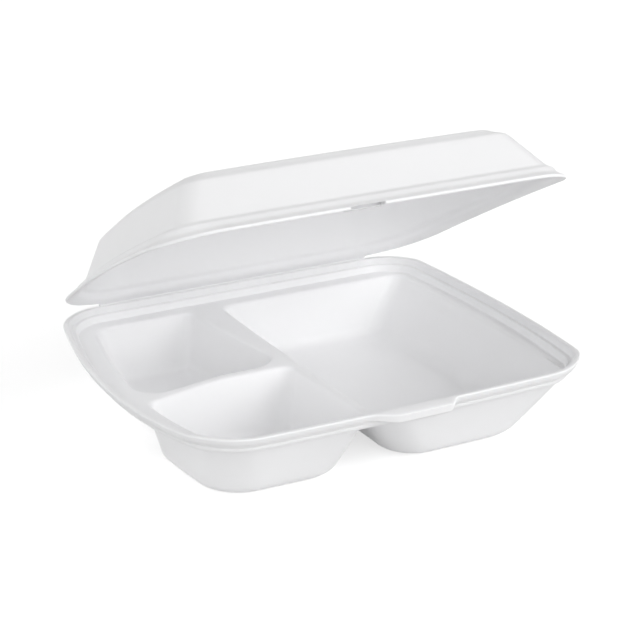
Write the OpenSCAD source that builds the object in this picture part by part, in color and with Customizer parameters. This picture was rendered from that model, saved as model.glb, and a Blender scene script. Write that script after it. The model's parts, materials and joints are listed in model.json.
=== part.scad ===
// Hinged-lid menu box, drawn from one sheet of foamed polystyrene.
// The tray has three compartments inside a stepped rim, and the lid folds up
// on a thin web along the back edge. Millimetres: X runs along the hinge,
// Y towards it and Z up, with the tray standing on Z = 0.

/* [Box] */
// Width along the hinge, across the middle of the bowed sides
box_w = 242; // [225:1:265]
// Depth from the front lip to the hinge
box_d = 205; // [190:1:225]
// Thickness of the formed sheet
sheet = 2.4; // [1.8:0.1:2.8]
// How far each side bulges out between its corners
side_bow = 14; // [5:0.5:17]
// How far the front bulges out between its corners
front_bow = 2.5; // [0:0.25:5]
// Corner radius at the front
front_r = 26; // [20:1:32]
// Corner radius at the hinge end
back_r = 22; // [18:1:28]

/* [Rim] */
// Height of the lip's top at the front
rim_z = 44; // [38:0.5:52]
// How much lower the lip's top is at the hinge
rim_fall = 3.4; // [0:0.1:4]
// How far the side rims dip at mid-depth
side_dip = 4; // [0:0.1:6]
// Width of the lip's top
lip_w = 2.8; // [2.4:0.1:3.6]
// Height of the lip's outer face
lip_h = 3.8; // [3.6:0.1:5]
// Width of the upper tread
upper_tread = 2; // [1.4:0.1:3]
// Rise from the upper tread to the lip
upper_rise = 3.5; // [2.8:0.1:4.5]
// Width of the lower tread, up to the compartment's edge
lower_tread = 4; // [3:0.1:6]
// Rise from the lower tread to the upper one
lower_rise = 3.9; // [3:0.1:5]
// Slope of each riser, measured across
riser_run = 1.1; // [0.6:0.1:1.6]
// Extra width of the deck along the hinge
back_land = 4.5; // [0:0.5:8]
// Extra width of the deck beside the small compartments
small_land = 6.5; // [0:0.5:10]
// Rounding of the lip's edges
lip_edge = 0.6; // [0.3:0.1:1]

/* [Compartments] */
// Right edge of the long divider at the hinge end
divider_back_x = -17.5; // [-30:0.5:-5]
// Right edge of the long divider at the front
divider_front_x = -12; // [-25:0.5:0]
// Width of the long divider's crest where it flares into the back deck
divider_flare = 15.5; // [6:0.5:22]
// Width of the long divider's crest at its crossing and front
divider_crest = 3.6; // [2.5:0.1:8]
// Place of the short divider's crest along Y
short_divider_y = -7; // [-25:0.5:15]
// Width of the short divider's crest
short_crest = 5; // [3:0.5:10]
// Slope of the large compartment's outer wall from deck to floor, measured across
big_side_draft = 21.5; // [10:0.5:24]
// Slope of the back small compartment's outer wall
back_small_draft = 14; // [6:0.5:18]
// Slope of the front small compartment's outer wall
front_small_draft = 6.5; // [3:0.5:12]
// Slope of the front walls, measured across
front_draft = 17.5; // [10:0.5:24]
// Slope of the back walls, measured across
back_draft = 6; // [3:0.5:12]
// Slope of the large compartment's wall along the long divider
big_divider_draft = 19.5; // [8:0.5:22]
// Slope of the small compartments' walls along the long divider
small_divider_draft = 5.5; // [3:0.5:10]
// Slope of the walls along the short divider
short_divider_draft = 8; // [4:0.5:10]
// Corner radius of a compartment at the deck
comp_r = 14; // [10:0.5:18]
// Corner radius of a compartment at the floor
floor_r = 18; // [12:0.5:20]
// Rounding between the walls and the floor
floor_fillet = 5; // [3:0.5:8]

/* [Lid] */
// Height of the lid above its rim
lid_h = 34.5; // [28:0.5:40]
// How far the lid stands open
open_angle = 29; // [10:0.1:80]
// Thickness of the lid's flange at its edge
flange_t = 1.9; // [1.5:0.1:2.4]
// Width of the lid's flange
flange_w = 5.6; // [4.5:0.1:7]
// Rise of the flange towards the lid's step
flange_rise = 2; // [1:0.1:3]
// Width of the step between flange and wall
step_w = 2.2; // [1.5:0.1:3.5]
// Height of that step
step_h = 3; // [2:0.1:4]
// Width of the ledge below the wall
ledge_w = 3.6; // [2.5:0.1:6]
// Rise of the ledge
ledge_rise = 1.2; // [0.5:0.1:2]
// Slope of the lid's wall, measured across
wall_run = 10.6; // [7:0.1:14]
// Width of the rounded shoulder above the wall
shoulder_w = 5; // [3.5:0.1:8]
// Height of the rounded shoulder
shoulder_h = 4.3; // [3:0.1:6]
// Height of the raised top panel above the shoulder
panel_h = 2.7; // [1.5:0.1:4]
// Width of the slope that carries the top panel
panel_run = 3.5; // [2:0.1:6]
// How far each side of the lid bulges out between its corners
lid_bow = 6.5; // [5:0.5:15]
// How much narrower each side of the lid is at the hinge than at the front
lid_taper = 5; // [0:0.5:8]
// How far the lid's side rims arch up at mid-depth
lid_arch = 2; // [0:0.1:4]
// Corner radius of the lid's rim at the front
lid_front_r = 31; // [24:1:36]
// Corner radius of the lid's rim at the hinge end
lid_back_r = 42; // [30:1:48]
// Least corner radius of the lid's wall and panel
lid_r = 9; // [6:0.5:16]
// Crown of the top panel
panel_crown = 0.6; // [0:0.1:2]

/* [Hinge and latch] */
// Room between tray or lid and the fold line
fold_gap = 0.3; // [0.2:0.05:0.6]
// Room between the lid's rim and the fold line's level
rim_gap = 0.2; // [0.15:0.05:0.4]
// Width of the latch tab where it leaves the lip
tab_w = 50; // [36:1:60]
// Width taken off each end of the tab at its tip
tab_taper = 3; // [1:0.5:6]
// How far the tab stands out from the lip
tab_out = 5; // [3:0.5:8]
// How far the tab's tip hangs below the lip's top
tab_drop = 5.6; // [4:0.2:7]
// Thickness of the tab's tip
tab_tip = 3; // [2:0.1:3.6]
// Fall of the tab's top between the lip and its bend
tab_fall = 0.6; // [0.2:0.1:1.2]
// Middle of the lid's latch slot along X
slot_x = -12.3; // [-20:0.5:20]
// Width of the latch slot
slot_w = 19; // [12:1:30]
// Height of the latch slot
slot_h = 2.4; // [1.6:0.1:2.8]

/* [Hidden] */
foam_white = "#f4f4f2";

// Steps along each corner arc and each side of an outline
corner_steps = 7;
side_steps = 8;
fillet_steps = 4;
slice_h = 0.01;

// Distances inwards from the outline to the edges of the rim's treads
upper_foot = lip_w + riser_run;
upper_edge = upper_foot + upper_tread;
lower_foot = upper_edge + riser_run;
comp_edge = lower_foot + lower_tread;
deck_fall = upper_rise + lower_rise;
deck_z = rim_z - deck_fall;

// Half sizes of the outline before its sides are bowed
half_w = box_w / 2 - side_bow;
half_d = box_d / 2;
comp_half_w = half_w - comp_edge;
// Least corner radius of the deck's inner rings
deck_r = 3;

// The side dip fades out towards the front, the back and the middle of the tray
dip_corner_share = 0.65;
dip_start_share = 0.55;
dip_full_share = 0.9;
dip_half_d = half_d - front_r * dip_corner_share;
dip_from_x = half_w * dip_start_share;
dip_to_x = half_w * dip_full_share;

// Fold line of the hinge, in the tray's own place
fold_y = half_d + fold_gap;
fold_z = rim_z - rim_fall + rim_gap;

function clamp01(t) = max(0, min(1, t));
function lerp(a, b, t) = a + (b - a) * t;
function last(v) = v[len(v) - 1];
function unit(v) = v / norm(v);

// Points of an arc, and the inner points of a straight side
function arc(c, r, from, turn, steps) =
    [for (i = [0 : steps]) c + r * [cos(from + turn * i / steps), sin(from + turn * i / steps)]];
function side(p, q) = [for (i = [1 : side_steps - 1]) lerp(p, q, i / side_steps)];

// Joins arcs into one closed outline, with points along the sides between them
function joined(arcs) = [
    for (k = [0 : len(arcs) - 1])
        let (next = arcs[(k + 1) % len(arcs)])
            each concat(arcs[k], side(last(arcs[k]), next[0]))
];

// An outline at a distance inwards: a rounded rectangle whose sides and front are bowed.
// Its form is [bow of the sides, taper to the hinge, front radius, back radius, least radius].
function outline(inset, form) =
    let (
        bow = form[0],
        w = box_w / 2 - bow - inset,
        back = half_d - inset,
        front = half_d - front_bow - inset,
        taper = form[1],
        rf = max(form[2] - inset, form[4]),
        rb = max(form[3] - inset, form[4]),
        plain = joined([
            arc([w - rb, back - rb], rb, 0, 90, corner_steps),
            arc([rb - w, back - rb], rb, 90, 90, corner_steps),
            arc([rf - w, rf - front], rf, 180, 90, corner_steps),
            arc([w - rf, rf - front], rf, 270, 90, corner_steps)
        ])
    )
    [for (p = plain) [
        p.x * (1 + (bow * (1 - pow(p.y / back, 2)) - taper * (1 + p.y / back) / 2) / w),
        p.y * (1 + (p.y < 0 ? front_bow / front * (1 - pow(p.x / w, 2)) : 0))
    ]];

// Share of the side dip at a point, and how far the rim lies below its height at the front:
// it falls to the hinge and dips at the sides
function side_share(p) =
    max(0, 1 - pow(p.y / dip_half_d, 2)) * clamp01((abs(p.x) - dip_from_x) / (dip_to_x - dip_from_x));
function rim_drop(p) = rim_fall * (p.y + half_d) / box_d + side_dip * side_share(p);

// How far the lid's rim is arched up at its sides, fading out with height
function rim_arch(p, z) = lid_arch * side_share(p) * clamp01(1 - z / lid_h);

// Rings of the tray's rim and of the lid, at [distance inwards, height] on their profiles
tray_form = [side_bow, 0, front_r, back_r, deck_r];
lid_form = [lid_bow, lid_taper, lid_front_r, lid_back_r, lid_r];
function rim_ring(s) = [for (p = outline(s[0], tray_form)) [p.x, p.y, rim_z + s[1] - rim_drop(p)]];
function lid_ring(s) = [for (p = outline(s[0], lid_form)) [p.x, p.y, s[1] + rim_arch(p, s[1])]];

// A profile moved sideways by the sheet's thickness, to the left of its run
function left_of(a, b) = let (u = unit(b - a)) [-u.y, u.x];
function beside(path, t) = [
    for (i = [0 : len(path) - 1])
        let (
            end = len(path) - 1,
            before = left_of(path[max(i - 1, 0)], path[max(i, 1)]),
            after = left_of(path[min(i, end - 1)], path[min(i + 1, end)])
        )
        path[i] + t * (before + after) / (1 + before * after)
];
function reversed(v) = [for (i = [len(v) - 1 : -1 : 0]) v[i]];

// A closed solid through rings of equal count, the first one on top
module loft(rings) {
    n = len(rings[0]);
    polyhedron(
        points = [for (r = rings) each r],
        faces = concat(
            [[for (j = [n - 1 : -1 : 0]) j]],
            [for (i = [0 : len(rings) - 2], j = [0 : n - 1])
                let (k = (j + 1) % n)
                    each [
                        [i * n + j, i * n + k, (i + 1) * n + k],
                        [i * n + j, (i + 1) * n + k, (i + 1) * n + j]
                    ]],
            [[for (j = [0 : n - 1]) (len(rings) - 1) * n + j]]
        )
    );
}

// Tray: the stepped rim and the deck between the compartments
middle_share = 0.72;
deck_share = 0.42;
deck_insets = [half_d * middle_share, half_d * deck_share];
deck_path = concat(
    [for (d = deck_insets) [d, -deck_fall]],
    [[lower_foot, -deck_fall], [upper_edge, -upper_rise], [upper_foot, -upper_rise]]
);
lip_path = [
    [lip_w + lip_edge / 2, -lip_edge],
    [lip_w - lip_edge / 2, 0],
    [lip_edge, 0],
    [0, -lip_edge],
    [0, lip_edge - lip_h],
    [lip_edge, -lip_h]
];
below_tray = -2 * rim_z;

module rim_and_deck() {
    loft([for (s = concat(deck_path, lip_path, reversed(beside(deck_path, sheet)))) rim_ring(s)]);
}

// All that lies below the middle of the rim's and deck's sheet
module under_rim() {
    loft([for (s = concat(deck_path, lip_path, [[lip_edge, below_tray]])) rim_ring(s - [0, sheet / 2])]);
}

// Corners of a compartment at the deck and at the floor, before bowing, from the front left corner round
comp_front = front_bow + comp_edge - half_d;
comp_back = half_d - comp_edge - back_land;
small_side_x = small_land - comp_half_w;
short_front = short_divider_y - short_crest / 2;
short_back = short_divider_y + short_crest / 2;
function divider_x(y) = lerp(divider_front_x, divider_back_x, (y - comp_front) / (comp_back - comp_front));

big_deck = [
    [divider_front_x, comp_front], [comp_half_w, comp_front],
    [comp_half_w, comp_back], [divider_back_x, comp_back]
];
big_floor = big_deck + [
    [big_divider_draft, front_draft], [-big_side_draft, front_draft],
    [-big_side_draft, -back_draft], [big_divider_draft, -back_draft]
];
small_back_deck = [
    [small_side_x, short_back], [divider_x(short_back) - divider_crest, short_back],
    [divider_back_x - divider_flare, comp_back], [small_side_x, comp_back]
];
small_back_floor = small_back_deck + [
    [back_small_draft, short_divider_draft], [-small_divider_draft, short_divider_draft],
    [-small_divider_draft, -back_draft], [back_small_draft, -back_draft]
];
small_front_deck = [
    [small_side_x, comp_front], [divider_front_x - divider_crest, comp_front],
    [divider_x(short_front) - divider_crest, short_front], [small_side_x, short_front]
];
small_front_floor = small_front_deck + [
    [front_small_draft, front_draft], [-small_divider_draft, front_draft],
    [-small_divider_draft, -short_divider_draft], [front_small_draft, -short_divider_draft]
];
compartments = [
    [big_deck, big_floor], [small_back_deck, small_back_floor], [small_front_deck, small_front_floor]
];

// A convex outline with its sides moved inwards, and with its corners rounded
function moved_in(q, t) = [
    for (i = [0 : 3])
        let (n0 = left_of(q[(i + 3) % 4], q[i]), n1 = left_of(q[i], q[(i + 1) % 4]))
            q[i] + t * (n0 + n1) / (1 + n0 * n1)
];
function rounded(q, r) = joined([
    for (i = [0 : 3])
        let (
            u = unit(q[i] - q[(i + 3) % 4]),
            v = unit(q[(i + 1) % 4] - q[i]),
            turn = atan2(cross(u, v), u * v),
            c = q[i] - u * r * tan(turn / 2) + [-u.y, u.x] * r
        )
        arc(c, r, atan2(-u.x, u.y), turn, corner_steps)
]);

// The bow of the outline, carried into a compartment in step with its distance from the middle
comp_bow = side_bow + side_dip * big_side_draft / deck_z;
function bowed(p) = [
    p.x * (1 + comp_bow / comp_half_w * (1 - pow(p.y / half_d, 2))),
    p.y * (1 + (p.y < 0 ? -front_bow / comp_front * (1 - pow(p.x / half_w, 2)) : 0))
];

// Outline of a compartment at a height, with its walls a distance outwards
function comp_section(comp, z, out, inset) =
    let (
        t = (z - sheet) / (deck_z - sheet),
        r = max(lerp(floor_r, comp_r, t) + out - inset, deck_r)
    )
    [for (p = rounded(moved_in(lerp(comp[1], comp[0], t), inset - out), r)) bowed(p)];

// A compartment's space, or with the sheet round it, its pod: rounded at the floor and open above
module comp_solid(comp, out) {
    fillet = floor_fillet + out;
    bottom = sheet - out;
    rise = [for (i = [0 : fillet_steps]) fillet * (1 - cos(90 * i / fillet_steps))];
    hull() {
        for (h = rise) {
            inset = fillet - sqrt(fillet * fillet - pow(fillet - h, 2));
            translate([0, 0, bottom + h]) linear_extrude(slice_h)
                polygon(comp_section(comp, bottom + h, out, inset));
        }
        translate([0, 0, rim_z + sheet]) linear_extrude(slice_h)
            polygon(comp_section(comp, rim_z + sheet, out, 0));
    }
}

// Latch tab on the front lip: it runs out from the lip and turns down at its tip
module tab_rib(half, y, z_low, z_high) {
    translate([-half, y, z_low]) cube([2 * half, slice_h, z_high - z_low]);
}
module latch_tab() {
    root_y = lip_edge - half_d;
    bend_y = -half_d - tab_out / 2;
    tip_y = -half_d - tab_out;
    bend_drop = lip_edge + tab_fall;
    tip_top = tab_drop - tab_tip;
    hull() {
        tab_rib(tab_w / 2, root_y, rim_z - lip_h, rim_z - lip_edge);
        tab_rib(tab_w / 2 - tab_taper / 2, bend_y, rim_z - lip_h, rim_z - bend_drop);
    }
    hull() {
        tab_rib(tab_w / 2 - tab_taper / 2, bend_y, rim_z - lip_h, rim_z - bend_drop);
        tab_rib(tab_w / 2 - tab_taper, tip_y, rim_z - tab_drop, rim_z - tip_top);
    }
}

module tray() {
    color(foam_white) {
        difference() {
            union() {
                rim_and_deck();
                intersection() {
                    under_rim();
                    union() {
                        for (comp = compartments) comp_solid(comp, sheet);
                    }
                }
            }
            for (comp = compartments) comp_solid(comp, 0);
        }
        latch_tab();
    }
}

// Lid: its outer profile from the flange up to the middle of the top panel
step_foot = [flange_w, flange_t + flange_rise];
step_top = step_foot + [step_w, step_h];
wall_foot = step_top + [ledge_w, ledge_rise];
wall_top = [wall_foot.x + wall_run, lid_h - panel_h - shoulder_h];
shoulder_top = wall_top + [shoulder_w, shoulder_h];
panel_edge = [shoulder_top.x + panel_run, lid_h];
panel_mid = [half_d * middle_share, lid_h + panel_crown];

// Points of the rounded shoulder and of the panel's slope, as shares of their width and height
shoulder_bend = [0.28, 0.55];
panel_ease = [[0.35, 0.3], [0.65, 0.8]];

lid_edge_path = [
    [lip_edge, 0],
    [0, lip_edge],
    [0, flange_t - lip_edge / 2],
    [lip_edge / 2, flange_t]
];
lid_top_path = [
    step_foot,
    step_top,
    wall_foot,
    wall_top,
    wall_top + [shoulder_w * shoulder_bend.x, shoulder_h * shoulder_bend.y],
    shoulder_top,
    shoulder_top + [panel_run * panel_ease[0].x, panel_h * panel_ease[0].y],
    shoulder_top + [panel_run * panel_ease[1].x, panel_h * panel_ease[1].y],
    panel_edge,
    panel_mid
];
lid_path = concat(reversed(lid_top_path), reversed(lid_edge_path), beside(lid_top_path, -sheet));

// Latch slot, cut through the lid's front flange into the hollow of its step
module latch_slot() {
    translate([slot_x - slot_w / 2, -half_d - sheet, -sheet])
        cube([slot_w, sheet + step_top.x, sheet + slot_h]);
}

module lid() {
    color(foam_white)
        translate([0, fold_y, fold_z]) rotate([-open_angle, 0, 0])
            translate([0, -fold_y, rim_gap]) difference() {
                loft([for (s = lid_path) lid_ring(s)]);
                latch_slot();
            }
}

// The origin lies under the middle of the box as it stands open
front_reach = -half_d - tab_out;
back_reach = max([
    for (s = lid_path)
        fold_y - (fold_gap + s[0]) * cos(open_angle) + (s[1] + rim_gap) * sin(open_angle)
]);
module standing() {
    translate([0, -(front_reach + back_reach) / 2, 0]) children();
}

standing() tray();
standing() lid();
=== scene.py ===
"""Menu box of white foamed polystyrene: smooth tray, lid and hinge web over the CAD frame."""

import json
from math import atan2, cos, hypot, pi, radians, sin, sqrt, tan

import bmesh
import bpy
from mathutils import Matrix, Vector


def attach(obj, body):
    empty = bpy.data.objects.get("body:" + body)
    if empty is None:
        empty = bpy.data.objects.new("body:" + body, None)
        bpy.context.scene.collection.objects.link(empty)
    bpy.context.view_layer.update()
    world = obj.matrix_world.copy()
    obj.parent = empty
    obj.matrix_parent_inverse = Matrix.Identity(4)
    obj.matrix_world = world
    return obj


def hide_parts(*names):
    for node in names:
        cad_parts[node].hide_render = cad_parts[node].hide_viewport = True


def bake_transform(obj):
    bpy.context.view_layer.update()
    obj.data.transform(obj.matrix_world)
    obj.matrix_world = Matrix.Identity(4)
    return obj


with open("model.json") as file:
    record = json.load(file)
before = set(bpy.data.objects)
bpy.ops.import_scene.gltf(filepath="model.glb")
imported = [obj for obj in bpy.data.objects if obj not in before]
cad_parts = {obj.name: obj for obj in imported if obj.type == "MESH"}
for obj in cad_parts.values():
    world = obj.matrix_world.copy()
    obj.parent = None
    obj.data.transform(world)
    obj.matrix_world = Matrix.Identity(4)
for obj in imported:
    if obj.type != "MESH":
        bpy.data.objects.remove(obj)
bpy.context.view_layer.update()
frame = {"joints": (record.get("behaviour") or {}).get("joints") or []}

MM = 0.001

# Sizes of the box in millimetres, as in the part's source
BOX_W, BOX_D, SHEET = 242.0, 205.0, 2.4
SIDE_BOW, FRONT_BOW, FRONT_R, BACK_R = 14.0, 2.5, 26.0, 22.0
RIM_Z, RIM_FALL, SIDE_DIP = 44.0, 3.4, 4.0
LIP_W, LIP_H, RISER_RUN = 2.8, 3.8, 1.1
UPPER_TREAD, UPPER_RISE, LOWER_TREAD, LOWER_RISE = 2.0, 3.5, 4.0, 3.9
BACK_LAND, SMALL_LAND = 4.5, 6.5
DIVIDER_BACK_X, DIVIDER_FRONT_X, DIVIDER_FLARE, DIVIDER_CREST = -17.5, -12.0, 15.5, 3.6
SHORT_DIVIDER_Y, SHORT_CREST = -7.0, 5.0
BIG_SIDE_DRAFT, BACK_SMALL_DRAFT, FRONT_SMALL_DRAFT = 21.5, 14.0, 6.5
FRONT_DRAFT, BACK_DRAFT = 17.5, 6.0
BIG_DIVIDER_DRAFT, SMALL_DIVIDER_DRAFT, SHORT_DIVIDER_DRAFT = 19.5, 5.5, 8.0
COMP_R, FLOOR_R, FLOOR_FILLET = 14.0, 18.0, 5.0
LID_H, OPEN_ANGLE, FLANGE_T, FLANGE_W, FLANGE_RISE = 34.5, 29.0, 1.9, 5.6, 2.0
STEP_W, STEP_H, LEDGE_W, LEDGE_RISE = 2.2, 3.0, 3.6, 1.2
WALL_RUN, SHOULDER_W, SHOULDER_H, PANEL_H, PANEL_RUN = 10.6, 5.0, 4.3, 2.7, 3.5
LID_BOW, LID_TAPER, LID_ARCH, PANEL_CROWN = 6.5, 5.0, 2.0, 0.6
LID_FRONT_R, LID_BACK_R, LID_R = 31.0, 42.0, 9.0
FOLD_GAP, RIM_GAP = 0.3, 0.2
TAB_W, TAB_OUT, TAB_DROP = 50.0, 5.0, 5.6
SLOT_X, SLOT_W = -12.3, 19.0
DIP_CORNER, DIP_START, DIP_FULL, MIDDLE_SHARE = 0.65, 0.55, 0.9, 0.72

# Tighter than in the solids: back corners of the compartments, and how fast the lid's front corners tighten
BACK_CORNER_R, LID_TIGHTEN = 6.0, 2.0
# Latch slot: the web behind it, the notch through the flange's edge and the pocket in the web.
# Each has its width, near and far end from the front edge, underside, top at the near and at the far end.
SLOT_WEB = (SLOT_W + 2.0, 2.6, 7.0, 0.3, 2.4, 3.4)
SLOT_NOTCH = (SLOT_W, -2.0, 2.8, -1.0, 1.0, 2.0)
SLOT_POCKET = (SLOT_W, 2.0, 5.4, 0.55, 1.8, 2.6)
# The tab's ends run into the lip more gently on the left, and its top falls a little to the front
TAB_EASE_LEFT, TAB_EASE_RIGHT, TAB_FALL = 16.0, 7.0, 0.3

HALF_D = BOX_D / 2
HALF_W = BOX_W / 2 - SIDE_BOW
UPPER_FOOT = LIP_W + RISER_RUN
UPPER_EDGE = UPPER_FOOT + UPPER_TREAD
LOWER_FOOT = UPPER_EDGE + RISER_RUN
COMP_EDGE = LOWER_FOOT + LOWER_TREAD
DECK_FALL = UPPER_RISE + LOWER_RISE
DECK_Z = RIM_Z - DECK_FALL
COMP_HALF_W = HALF_W - COMP_EDGE
DIP_HALF_D = HALF_D - FRONT_R * DIP_CORNER
FOLD_Y = HALF_D + FOLD_GAP
FOLD_Z = RIM_Z - RIM_FALL + RIM_GAP

# Least radius of the tray's outlines
DECK_R = 3.0

# Points on each corner arc, side, back and front of an outline
CORNER_STEPS, SIDE_STEPS, BACK_STEPS, FRONT_STEPS = 18, 48, 60, 130

# The frame's origin lies under the middle of the open box
hinge = frame["joints"][0]
SHIFT_Y = hinge["pos_m"][1] / MM - FOLD_Y


def lerp(a, b, t):
    return a + (b - a) * t


def clamp01(t):
    return max(0.0, min(1.0, t))


def smooth(t):
    t = clamp01(t)
    return t * t * (3 - 2 * t)


def arc(cx, cy, r, start, turn, steps):
    angles = [start + turn * i / steps for i in range(steps + 1)]
    return [(cx + r * cos(a), cy + r * sin(a)) for a in angles]


def joined(arcs, steps):
    """Arcs joined into one closed outline, with evenly spaced points between them."""
    points = []
    for k, part in enumerate(arcs):
        points += part
        p, q, n = part[-1], arcs[(k + 1) % len(arcs)][0], steps[k]
        points += [(lerp(p[0], q[0], i / n), lerp(p[1], q[1], i / n)) for i in range(1, n)]
    return points


def outline(inset, form):
    """Bowed outline at a distance inwards; form is explained at TRAY_FORM."""
    bow, taper, front_r, back_r, least, tighten = form
    w = BOX_W / 2 - bow - inset
    back = HALF_D - inset
    front = HALF_D - FRONT_BOW - inset
    rf, rb = max(front_r - inset * tighten, least), max(back_r - inset, least)
    plain = joined(
        [
            arc(w - rb, back - rb, rb, 0, pi / 2, CORNER_STEPS),
            arc(rb - w, back - rb, rb, pi / 2, pi / 2, CORNER_STEPS),
            arc(rf - w, rf - front, rf, pi, pi / 2, CORNER_STEPS),
            arc(w - rf, rf - front, rf, 1.5 * pi, pi / 2, CORNER_STEPS),
        ],
        [BACK_STEPS, SIDE_STEPS, FRONT_STEPS, SIDE_STEPS],
    )
    return [
        (
            x * (1 + (bow * (1 - (y / back) ** 2) - taper * (1 + y / back) / 2) / w),
            y * (1 + (FRONT_BOW / front * (1 - (x / w) ** 2) if y < 0 else 0)),
        )
        for x, y in plain
    ]


# Bow of the sides, taper to the hinge, front radius, back radius, least radius,
# and how fast the front radius shrinks inwards
TRAY_FORM = (SIDE_BOW, 0.0, FRONT_R, BACK_R, DECK_R, 1.0)
LID_FORM = (LID_BOW, LID_TAPER, LID_FRONT_R, LID_BACK_R, LID_R, LID_TIGHTEN)


def side_share(x, y):
    """1 at mid-depth of the sides, 0 at their ends and in the middle of the box."""
    fade = clamp01((abs(x) - HALF_W * DIP_START) / (HALF_W * (DIP_FULL - DIP_START)))
    return max(0.0, 1 - (y / DIP_HALF_D) ** 2) * fade


def rim_drop(x, y):
    """How far the rim lies below its height at the front."""
    return RIM_FALL * (y + HALF_D) / BOX_D + SIDE_DIP * side_share(x, y)


def unit(x, y):
    n = hypot(x, y)
    return x / n, y / n


# A curve takes at most this share of the runs beside its corner
MOST_REACH = 0.48


def softened(path, radii, steps=4):
    """A profile with each inner corner turned into a small curve of the given reach."""
    out = [path[0]]
    for i in range(1, len(path) - 1):
        p, v, q = path[i - 1], path[i], path[i + 1]
        a, b = hypot(p[0] - v[0], p[1] - v[1]), hypot(q[0] - v[0], q[1] - v[1])
        r = min(radii[i - 1], MOST_REACH * a, MOST_REACH * b)
        s = (v[0] + (p[0] - v[0]) * r / a, v[1] + (p[1] - v[1]) * r / a)
        e = (v[0] + (q[0] - v[0]) * r / b, v[1] + (q[1] - v[1]) * r / b)
        for k in range(steps + 1):
            t = k / steps
            out.append(tuple(
                (1 - t) ** 2 * s[j] + 2 * t * (1 - t) * v[j] + t * t * e[j] for j in (0, 1)
            ))
    return out + [path[-1]]


def left_normal(p, q):
    u = unit(q[0] - p[0], q[1] - p[1])
    return -u[1], u[0]


def mitred(point, n, m, t):
    """A corner moved so that both its sides, with normals n and m, move by t."""
    k = t / (1 + n[0] * m[0] + n[1] * m[1])
    return point[0] + k * (n[0] + m[0]), point[1] + k * (n[1] + m[1])


def beside(path, t):
    """A profile moved sideways by t, to the left of its run."""
    out, end = [], len(path) - 1
    for i in range(len(path)):
        before = left_normal(path[max(i - 1, 0)], path[max(i, 1)])
        after = left_normal(path[min(i, end - 1)], path[min(i + 1, end)])
        out.append(mitred(path[i], before, after, t))
    return out


def place(point):
    """A point of the tray's own place, in millimetres, as a vector of the frame."""
    return Vector((point[0], point[1] + SHIFT_Y, point[2])) * MM


def first_loop(bm, points, index):
    """A closed loop through the points, made from a circle of as many vertices."""
    made = bmesh.ops.create_circle(bm, segments=len(points), radius=1.0)["verts"]
    start = made[0]
    loop = [start]
    edge = min(start.link_edges, key=lambda e: e.other_vert(start).co.cross(start.co).z)
    while len(loop) < len(made):
        nxt = edge.other_vert(loop[-1])
        loop.append(nxt)
        edge = next(e for e in nxt.link_edges if e is not edge)
    for i, (v, p) in enumerate(zip(loop, points)):
        v[index] = i
        v.co = p
    return list({e for v in made for e in v.link_edges})


def next_loop(bm, edges, points, index):
    """The loop drawn on by one ring of faces, and its new edges."""
    made = bmesh.ops.extrude_edge_only(bm, edges=edges)["geom"]
    verts = {v for v in made if isinstance(v, bmesh.types.BMVert)}
    for v in verts:
        v.co = points[v[index]]
    return [e for e in made if isinstance(e, bmesh.types.BMEdge) and verts.issuperset(e.verts)]


def drawn(bm, rings, index):
    """Rings of faces through all the loops; gives the edges of the first and the last loop."""
    first = first_loop(bm, rings[0], index)
    edges = first
    for ring in rings[1:]:
        edges = next_loop(bm, edges, ring, index)
    return first, edges


# Outer face of the lip: rounding of its top edge, how far it leans in below, and steps along it
LIP_ROUND, LIP_LEAN, LIP_STEPS = 0.7, 1.3, 6
# Strip of deck drawn with the rim, and curves at the corners of the rim's steps from the deck outwards
RIM_DECK, RIM_CURVES = 1.6, [0.6, 0.6, 0.5, 0.7]


def rim_rings():
    """Rings of the tray's rim, from the deck out to the lip's lower edge."""
    path = softened(
        [
            (LOWER_FOOT + RIM_DECK, -DECK_FALL),
            (LOWER_FOOT, -DECK_FALL),
            (UPPER_EDGE, -UPPER_RISE),
            (UPPER_FOOT, -UPPER_RISE),
            (LIP_W, 0.0),
            (LIP_ROUND, 0.0),
        ],
        RIM_CURVES,
    )
    # Each entry: distance inwards, height, reach of the tab, fall of the tab
    lip = [(d, z, 0.0, 0.0) for d, z in path]
    for k in range(1, LIP_STEPS + 1):
        t = k / LIP_STEPS
        a = pi / 2 * (1 - t)
        inset, z = LIP_ROUND * (1 - cos(a)), LIP_ROUND * (sin(a) - 1)
        lip.append((inset, z, TAB_OUT * cos(a), TAB_FALL * t))
    for k in range(1, LIP_STEPS + 1):
        t = k / LIP_STEPS
        fall = lerp(TAB_FALL, TAB_DROP - LIP_H, t)
        lip.append((LIP_LEAN * t, lerp(-LIP_ROUND, -LIP_H, t), TAB_OUT, fall))
    rings = []
    for inset, z, reach, fall in lip:
        ring = []
        for x, y in outline(inset, TRAY_FORM):
            ease = TAB_EASE_LEFT if x < 0 else TAB_EASE_RIGHT
            tab = smooth((TAB_W / 2 - abs(x)) / ease) if y < 0 else 0.0
            ring.append(place((x, y - reach * tab, RIM_Z + z - rim_drop(x, y) - fall * tab)))
        rings.append(ring)
    return rings


# Compartments: corners at the deck from the front left round, and drafts at left, right, front and back
COMP_FRONT = FRONT_BOW + COMP_EDGE - HALF_D
COMP_BACK = HALF_D - COMP_EDGE - BACK_LAND
SMALL_X = SMALL_LAND - COMP_HALF_W
SHORT_FRONT = SHORT_DIVIDER_Y - SHORT_CREST / 2
SHORT_BACK = SHORT_DIVIDER_Y + SHORT_CREST / 2


def divider_x(y):
    return lerp(DIVIDER_FRONT_X, DIVIDER_BACK_X, (y - COMP_FRONT) / (COMP_BACK - COMP_FRONT))


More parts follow.
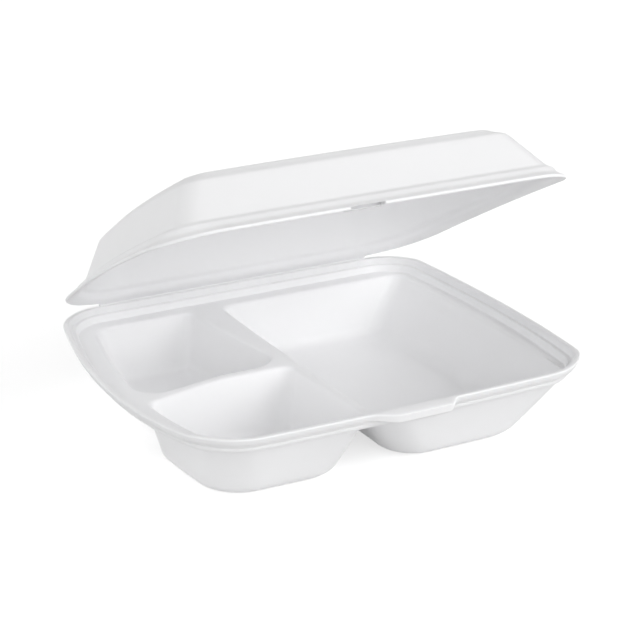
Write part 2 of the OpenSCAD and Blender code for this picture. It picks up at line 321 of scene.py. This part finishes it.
BIG = (
    [
        (DIVIDER_FRONT_X, COMP_FRONT),
        (COMP_HALF_W, COMP_FRONT),
        (COMP_HALF_W, COMP_BACK),
        (DIVIDER_BACK_X, COMP_BACK),
    ],
    (BIG_DIVIDER_DRAFT, BIG_SIDE_DRAFT, FRONT_DRAFT, BACK_DRAFT),
)
SMALL_AT_BACK = (
    [
        (SMALL_X, SHORT_BACK),
        (divider_x(SHORT_BACK) - DIVIDER_CREST, SHORT_BACK),
        (DIVIDER_BACK_X - DIVIDER_FLARE, COMP_BACK),
        (SMALL_X, COMP_BACK),
    ],
    (BACK_SMALL_DRAFT, SMALL_DIVIDER_DRAFT, SHORT_DIVIDER_DRAFT, BACK_DRAFT),
)
SMALL_AT_FRONT = (
    [
        (SMALL_X, COMP_FRONT),
        (DIVIDER_FRONT_X - DIVIDER_CREST, COMP_FRONT),
        (divider_x(SHORT_FRONT) - DIVIDER_CREST, SHORT_FRONT),
        (SMALL_X, SHORT_FRONT),
    ],
    (FRONT_SMALL_DRAFT, SMALL_DIVIDER_DRAFT, FRONT_DRAFT, SHORT_DIVIDER_DRAFT),
)


def moved_in(q, t):
    """A four-sided outline with all its sides moved inwards by t."""
    out = []
    for i in range(4):
        before, after = left_normal(q[i - 1], q[i]), left_normal(q[i], q[(i + 1) % 4])
        out.append(mitred(q[i], before, after, t))
    return out


def rounded(q, radii):
    """A four-sided outline with a radius at each corner."""
    arcs = []
    for i, r in enumerate(radii):
        u = unit(q[i][0] - q[i - 1][0], q[i][1] - q[i - 1][1])
        v = unit(q[(i + 1) % 4][0] - q[i][0], q[(i + 1) % 4][1] - q[i][1])
        turn = atan2(u[0] * v[1] - u[1] * v[0], u[0] * v[0] + u[1] * v[1])
        reach = r * tan(turn / 2)
        c = (q[i][0] - u[0] * reach - u[1] * r, q[i][1] - u[1] * reach + u[0] * r)
        arcs.append(arc(c[0], c[1], r, atan2(-u[0], u[1]), turn, CORNER_STEPS))
    return joined(arcs, [SIDE_STEPS] * 4)


def bowed(x, y):
    """A point of a compartment moved out with the bow of the sides and the front."""
    bow = SIDE_BOW + SIDE_DIP * BIG_SIDE_DRAFT / DECK_Z
    return (
        x * (1 + bow / COMP_HALF_W * (1 - (y / HALF_D) ** 2)),
        y * (1 + (-FRONT_BOW / COMP_FRONT * (1 - (x / HALF_W) ** 2) if y < 0 else 0)),
    )


def section(comp, z, inset):
    """Outline of a compartment's space at a height, moved inwards by inset."""
    deck, (left, right, front, back) = comp
    move = [(left, front), (-right, front), (-right, -back), (left, -back)]
    t = (z - SHEET) / (DECK_Z - SHEET)
    corners = [(x + dx * (1 - t), y + dy * (1 - t)) for (x, y), (dx, dy) in zip(deck, move)]
    front_r = max(lerp(FLOOR_R, COMP_R, t) - inset, DECK_R)
    back_r = max(BACK_CORNER_R - inset, DECK_R)
    radii = [front_r, front_r, back_r, back_r]
    return [bowed(x, y) for x, y in rounded(moved_in(corners, inset), radii)]


# Rounding of a compartment's edge, ring of floor inside its fillet, and the least span of heights
EDGE_ROUND, FLOOR_RING, LEAST_SPAN = 1.6, 2.0, 1e-6
EDGE_STEPS, WALL_STEPS, FILLET_STEPS = 5, 6, 7


def comp_rings(comp):
    """Loops from the deck over the rounded edge, down the wall and round onto the floor."""
    top = section(comp, DECK_Z, 0.0)
    levels = [DECK_Z - rim_drop(x, y) for x, y in top]
    rings = []

    def ring(inset, height):
        """height gives each point's level from its level at the deck."""
        points = []
        heights = [height(level) for level in levels]
        least, most = min(heights), max(heights)
        low, high = section(comp, least, inset), section(comp, most, inset)
        for (ax, ay), (bx, by), h in zip(low, high, heights):
            t = (h - least) / (most - least) if most - least > LEAST_SPAN else 0.0
            points.append(place((lerp(ax, bx, t), lerp(ay, by, t), h)))
        rings.append(points)

    for k in range(EDGE_STEPS + 1):
        a = pi / 2 * k / EDGE_STEPS
        ring(-EDGE_ROUND * (1 - sin(a)), lambda level: level - EDGE_ROUND * (1 - cos(a)))
    foot = SHEET + FLOOR_FILLET
    for k in range(1, WALL_STEPS):
        ring(0.0, lambda level: lerp(level - EDGE_ROUND, foot, k / WALL_STEPS))
    for k in range(FILLET_STEPS + 1):
        a = pi / 2 * k / FILLET_STEPS
        ring(FLOOR_FILLET * (1 - cos(a)), lambda level: foot - FLOOR_FILLET * sin(a))
    ring(FLOOR_FILLET + FLOOR_RING, lambda level: SHEET)
    return rings


def mesh_object(name, bm):
    """An object of the finished mesh, at the origin."""
    mesh = bpy.data.meshes.new(name)
    bm.to_mesh(mesh)
    bm.free()
    obj = bpy.data.objects.new(name, mesh)
    bpy.context.scene.collection.objects.link(obj)
    return obj


def smooth_faces(mesh, sharp_deg=50):
    """Smooth shading, with sharp edges only where the sheet is cut."""
    bm = bmesh.new()
    bm.from_mesh(mesh)
    for f in bm.faces:
        f.smooth = True
    for e in bm.edges:
        e.smooth = not (len(e.link_faces) == 2 and e.calc_face_angle() > radians(sharp_deg))
    bm.to_mesh(mesh)
    bm.free()


def make_tray():
    """Inner face of the tray, rim, compartments and deck between them, thickened downwards."""
    bm = bmesh.new()
    index = bm.verts.layers.int.new("index")
    deck_edges, _ = drawn(bm, rim_rings(), index)
    for comp in (BIG, SMALL_AT_BACK, SMALL_AT_FRONT):
        first, last = drawn(bm, comp_rings(comp), index)
        deck_edges += first
        bmesh.ops.contextual_create(bm, geom=last)
    bmesh.ops.triangle_fill(
        bm, use_beauty=True, use_dissolve=False, edges=deck_edges, normal=(0, 0, 1)
    )
    bmesh.ops.recalc_face_normals(bm, faces=bm.faces)
    if sum(f.normal.z * f.calc_area() for f in bm.faces) < 0:
        bmesh.ops.reverse_faces(bm, faces=bm.faces)
    obj = mesh_object("tray_sheet", bm)
    smooth_faces(obj.data)
    sheet = obj.modifiers.new("sheet", "SOLIDIFY")
    sheet.thickness = SHEET * MM
    sheet.offset = -1
    sheet.use_quality_normals = True
    return obj


# Lid: outer profile from the flange to the middle of the top panel, as (distance inwards, height)
BEND_RUN, BEND_RISE = 0.28, 0.55
STEP_FOOT = (FLANGE_W, FLANGE_T + FLANGE_RISE)
STEP_TOP = (STEP_FOOT[0] + STEP_W, STEP_FOOT[1] + STEP_H)
WALL_FOOT = (STEP_TOP[0] + LEDGE_W, STEP_TOP[1] + LEDGE_RISE)
WALL_TOP = (WALL_FOOT[0] + WALL_RUN, LID_H - PANEL_H - SHOULDER_H)
SHOULDER_BEND = (WALL_TOP[0] + SHOULDER_W * BEND_RUN, WALL_TOP[1] + SHOULDER_H * BEND_RISE)
SHOULDER_TOP = (WALL_TOP[0] + SHOULDER_W, WALL_TOP[1] + SHOULDER_H)
PANEL_EDGE = (SHOULDER_TOP[0] + PANEL_RUN, LID_H)
PANEL_MID = (HALF_D * MIDDLE_SHARE, LID_H + PANEL_CROWN)
LID_PROFILE = [
    STEP_FOOT, STEP_TOP, WALL_FOOT, WALL_TOP, SHOULDER_BEND, SHOULDER_TOP, PANEL_EDGE, PANEL_MID,
]
# Curves at its corners from the step's foot on, and turns round the flange's edge
LID_CURVES, EDGE_TURNS = [1.6, 1.1, 1.4, 3.0, 2.2, 2.0, 1.8], 8


def lid_place(point):
    """A point of the shut lid, turned open about the fold line."""
    a = radians(OPEN_ANGLE)
    y, z = point[1] - FOLD_Y, point[2] + RIM_GAP
    return place((point[0], y * cos(a) + z * sin(a) + FOLD_Y, -y * sin(a) + z * cos(a) + FOLD_Z))


def make_lid():
    """Outer face, half-round flange edge and inner face in one run of rings, then the slot."""
    r = FLANGE_T / 2
    outer = softened([(r, FLANGE_T)] + LID_PROFILE, LID_CURVES)
    inner = softened([(r, 0.0)] + beside(LID_PROFILE, -SHEET), LID_CURVES)
    turns = [pi * (0.5 - k / EDGE_TURNS) for k in range(1, EDGE_TURNS)]
    edge = [(r * (1 - cos(a)), r * (1 + sin(a))) for a in turns]
    rings = []
    for inset, z in outer[::-1] + edge + inner:
        arch = LID_ARCH * clamp01(1 - z / LID_H)
        line = outline(inset, LID_FORM)
        rings.append([lid_place((x, y, z + arch * side_share(x, y))) for x, y in line])
    bm = bmesh.new()
    index = bm.verts.layers.int.new("index")
    first, last = drawn(bm, rings, index)
    bmesh.ops.contextual_create(bm, geom=first)
    bmesh.ops.contextual_create(bm, geom=last)
    bmesh.ops.recalc_face_normals(bm, faces=bm.faces)
    obj = mesh_object("lid_sheet", bm)

    # Latch slot: the web is added under the step, then notch and pocket are cut from the front
    boxes = (("UNION", SLOT_WEB), ("DIFFERENCE", SLOT_NOTCH), ("DIFFERENCE", SLOT_POCKET))
    for operation, (wide, near, far, low, near_top, far_top) in boxes:
        block = bmesh.new()
        for v in bmesh.ops.create_cube(block, size=1.0)["verts"]:
            deep, tall = v.co.y + 0.5, v.co.z + 0.5
            z = lerp(low, lerp(near_top, far_top, deep), tall)
            v.co = lid_place((SLOT_X + v.co.x * wide, lerp(near, far, deep) - HALF_D, z))
        tool = mesh_object("slot_tool", block)
        cut = obj.modifiers.new("slot", "BOOLEAN")
        cut.object = tool
        cut.operation = operation
        cut.solver = "EXACT"
        bpy.context.view_layer.update()
        done = obj.evaluated_get(bpy.context.evaluated_depsgraph_get())
        obj.data = bpy.data.meshes.new_from_object(done)
        obj.modifiers.clear()
        bpy.data.objects.remove(tool)
    smooth_faces(obj.data)
    return obj


# Hinge web, the thin strip that carries the lid: half its length, thickness, hold on each body,
# and how far its bend stands off the fold line
WEB_HALF, WEB_T, WEB_HOLD, WEB_OFF = 83.5, 0.8, 1.2, 0.1
WEB_STEPS_X, WEB_STEPS_Y = 120, 8


def make_web():
    """A strip bent from the tray's back edge over the fold line to the lid's, rounded with its corners."""
    bm = bmesh.new()
    made = bmesh.ops.create_grid(
        bm, x_segments=WEB_STEPS_X, y_segments=WEB_STEPS_Y, size=1.0
    )["verts"]
    corner_x = BOX_W / 2 - LID_BOW - LID_TAPER - LID_BACK_R
    for v in made:
        x, t = v.co.x * WEB_HALF, (v.co.y + 1) / 2
        past = max(0.0, abs(x) - corner_x)
        away = LID_BACK_R - sqrt(LID_BACK_R ** 2 - past ** 2)
        tray_end = place((x, HALF_D - WEB_HOLD, FOLD_Z - RIM_GAP - WEB_T))
        fold = place((x, FOLD_Y + WEB_OFF, FOLD_Z - WEB_OFF))
        lid_end = lid_place((x, HALF_D - away - WEB_HOLD, WEB_T))
        v.co = (1 - t) ** 2 * tray_end + 2 * t * (1 - t) * fold + t * t * lid_end
    bmesh.ops.recalc_face_normals(bm, faces=bm.faces)
    obj = mesh_object("hinge_web", bm)
    smooth_faces(obj.data)
    sheet = obj.modifiers.new("sheet", "SOLIDIFY")
    sheet.thickness = WEB_T * MM
    sheet.offset = 0
    return obj


def linear(hexed):
    """An sRGB colour as linear RGBA."""
    parts = [int(hexed[i:i + 2], 16) / 255 for i in (1, 3, 5)]
    return [c / 12.92 if c <= 0.04045 else ((c + 0.055) / 1.055) ** 2.4 for c in parts] + [1.0]


def add(tree, kind, inputs=None, **settings):
    """One shader node, with its settings and its unlinked inputs."""
    made = tree.nodes.new(kind)
    for key, value in settings.items():
        setattr(made, key, value)
    for key, value in (inputs or {}).items():
        if isinstance(value, bpy.types.NodeSocket):
            tree.links.new(value, made.inputs[key])
        else:
            made.inputs[key].default_value = value
    return made


def new_material(name):
    mat = bpy.data.materials.new(name)
    mat.use_nodes = True
    mat.node_tree.nodes.clear()
    return mat, mat.node_tree


def noise(tree, size_mm, detail):
    """Cloudy pattern with spots of about the given size."""
    where = add(tree, "ShaderNodeTexCoord").outputs["Object"]
    inputs = {"Vector": where, "Scale": 1 / (size_mm * MM), "Detail": detail}
    return add(tree, "ShaderNodeTexNoise", inputs).outputs["Fac"]


def toned(tree, colours, share):
    """A colour between two, by a pattern."""
    inputs = {"A": linear(colours[0]), "B": linear(colours[1]), "Factor": share}
    return add(tree, "ShaderNodeMix", inputs, data_type="RGBA").outputs["Result"]


# Foam: colours, then sizes in mm of its cells, of the waves in the sheet and of the spots in its sheen
FOAM_COLOURS = ("#f8f8f9", "#fcfcfd")
CELL_MM, WAVE_MM, SHEEN_MM = 0.55, 28, 1.6
# Strength and height in mm of cells and waves, and the range of roughness
CELL_BUMP, WAVE_BUMP = (0.12, 0.05), (0.25, 0.3)
FOAM_ROUGH = (0.42, 0.58)


def foam_material():
    """Foamed polystyrene sheet, hot-formed: matt skin over fine closed cells about 0.5 mm across."""
    mat, tree = new_material("foamed_polystyrene_hot_formed")
    where = add(tree, "ShaderNodeTexCoord").outputs["Object"]
    cells = add(
        tree, "ShaderNodeTexVoronoi", {"Vector": where, "Scale": 1 / (CELL_MM * MM)}, feature="F1"
    )
    cloud = noise(tree, WAVE_MM, 3.0)
    sheen = noise(tree, SHEEN_MM, 2.0)
    rough = add(
        tree, "ShaderNodeMapRange",
        {"Value": sheen, "To Min": FOAM_ROUGH[0], "To Max": FOAM_ROUGH[1]},
    )
    normal = None
    for height, (strength, rise) in ((cells.outputs["Distance"], CELL_BUMP), (cloud, WAVE_BUMP)):
        inputs = {"Height": height, "Strength": strength, "Distance": rise * MM}
        if normal:
            inputs["Normal"] = normal
        normal = add(tree, "ShaderNodeBump", inputs).outputs["Normal"]
    skin = add(
        tree, "ShaderNodeBsdfPrincipled",
        {
            "Base Color": toned(tree, FOAM_COLOURS, cloud),
            "Roughness": rough.outputs["Result"],
            "Normal": normal,
            "Specular IOR Level": 0.35,
            "Subsurface Weight": 0.12,
            "Subsurface Radius": (1.0, 1.0, 1.0),
            "Subsurface Scale": 2.0 * MM,
        },
    )
    add(tree, "ShaderNodeOutputMaterial", {"Surface": skin.outputs["BSDF"]})
    return mat


def seen_ray(tree):
    """1 for rays that show the background: to the camera, mirrored or let through."""
    path = add(tree, "ShaderNodeLightPath")
    shown = path.outputs["Is Camera Ray"]
    for kind in ("Is Glossy Ray", "Is Transmission Ray"):
        either = add(tree, "ShaderNodeMath", {0: shown, 1: path.outputs[kind]}, operation="MAXIMUM")
        shown = either.outputs["Value"]
    return shown


# Studio table: colours, size of its grain in mm, glow in the picture, and half its width in metres
TABLE_COLOURS, GRAIN_MM, TABLE_GLOW, TABLE_HALF = ("#d2d2d2", "#d8d8d8"), 3, 0.63, 3.0


def floor_material():
    """Matt opal sheet, cast: a plain table lit from below, whose glow only seen rays get."""
    mat, tree = new_material("studio_table_opal")
    grain = noise(tree, GRAIN_MM, 2.0)
    glow = add(tree, "ShaderNodeMath", {0: seen_ray(tree), 1: TABLE_GLOW}, operation="MULTIPLY")
    skin = add(
        tree, "ShaderNodeBsdfPrincipled",
        {
            "Base Color": toned(tree, TABLE_COLOURS, grain),
            "Roughness": 0.9,
            "Specular IOR Level": 0.1,
            "Emission Color": linear("#ffffff"),
            "Emission Strength": glow.outputs["Value"],
        },
    )
    add(tree, "ShaderNodeOutputMaterial", {"Surface": skin.outputs["BSDF"]})
    return mat


foam = foam_material()
tray = make_tray()
lid = make_lid()
web = make_web()
for piece in (tray, lid, web):
    piece.data.materials.clear()
    piece.data.materials.append(foam)
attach(tray, "tray")
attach(lid, "lid")
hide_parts("tray")
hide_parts("lid")
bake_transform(web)

# Floor
bm = bmesh.new()
bmesh.ops.create_grid(bm, x_segments=1, y_segments=1, size=TABLE_HALF)
floor = mesh_object("floor", bm)
floor.data.materials.append(floor_material())

# Light: soft panels at the front, at the right and behind, all turned to the box
AIM = Vector((0, 0, 0.05))


def panel(name, size, energy, location):
    light = bpy.data.lights.new(name, "AREA")
    light.shape = "RECTANGLE"
    light.size, light.size_y = size
    light.energy = energy
    obj = bpy.data.objects.new(name, light)
    obj.location = location
    obj.rotation_euler = (AIM - obj.location).to_track_quat("-Z", "Y").to_euler()
    bpy.context.scene.collection.objects.link(obj)


panel("front_panel", (3.0, 1.6), 26.0, (0.4, -2.0, 0.8))
panel("right_panel", (2.0, 1.4), 21.0, (1.7, -1.1, 1.2))
panel("back_panel", (2.4, 1.4), 6.0, (0.2, 1.9, 1.7))

# Room: a white wall on the left that fades to the middle; the background shows plain white
WALL_LIGHT, ROOM_LIGHT = 1.44, 0.07
scene = bpy.context.scene
world = bpy.data.worlds.new("studio")
scene.world = world
world.use_nodes = True
tree = world.node_tree
tree.nodes.clear()
seen = add(tree, "ShaderNodeBackground", {"Color": linear("#ffffff"), "Strength": 1.0})
around = add(tree, "ShaderNodeTexCoord").outputs["Generated"]
way = add(tree, "ShaderNodeSeparateXYZ", {"Vector": around})
left = add(
    tree, "ShaderNodeMapRange",
    {
        "Value": way.outputs["X"],
        "From Min": -1.0,
        "From Max": 0.0,
        "To Min": WALL_LIGHT,
        "To Max": ROOM_LIGHT,
    },
)
room = add(
    tree, "ShaderNodeBackground", {"Color": linear("#ffffff"), "Strength": left.outputs["Result"]}
)
mix = add(tree, "ShaderNodeMixShader", {0: seen_ray(tree), 1: room.outputs[0], 2: seen.outputs[0]})
add(tree, "ShaderNodeOutputWorld", {"Surface": mix.outputs[0]})

# Camera at the photograph's place
CAM_AZ, CAM_EL, CAM_DIST = radians(-27.6), radians(21.73), 1096.6
CAM_LENS, CAM_SENSOR = 114.59, 36.0
CAM_TARGET = (10.5, 17.7, 44.7)
target = place(CAM_TARGET)
back = Vector((sin(CAM_AZ) * cos(CAM_EL), -cos(CAM_AZ) * cos(CAM_EL), sin(CAM_EL)))
camera = bpy.data.cameras.new("camera")
camera.lens = CAM_LENS
camera.sensor_width = CAM_SENSOR
camera_obj = bpy.data.objects.new("camera", camera)
camera_obj.location = target + back * CAM_DIST * MM
camera_obj.rotation_euler = back.to_track_quat("Z", "Y").to_euler()
scene.collection.objects.link(camera_obj)
scene.camera = camera_obj
scene.view_settings.view_transform = "Standard"
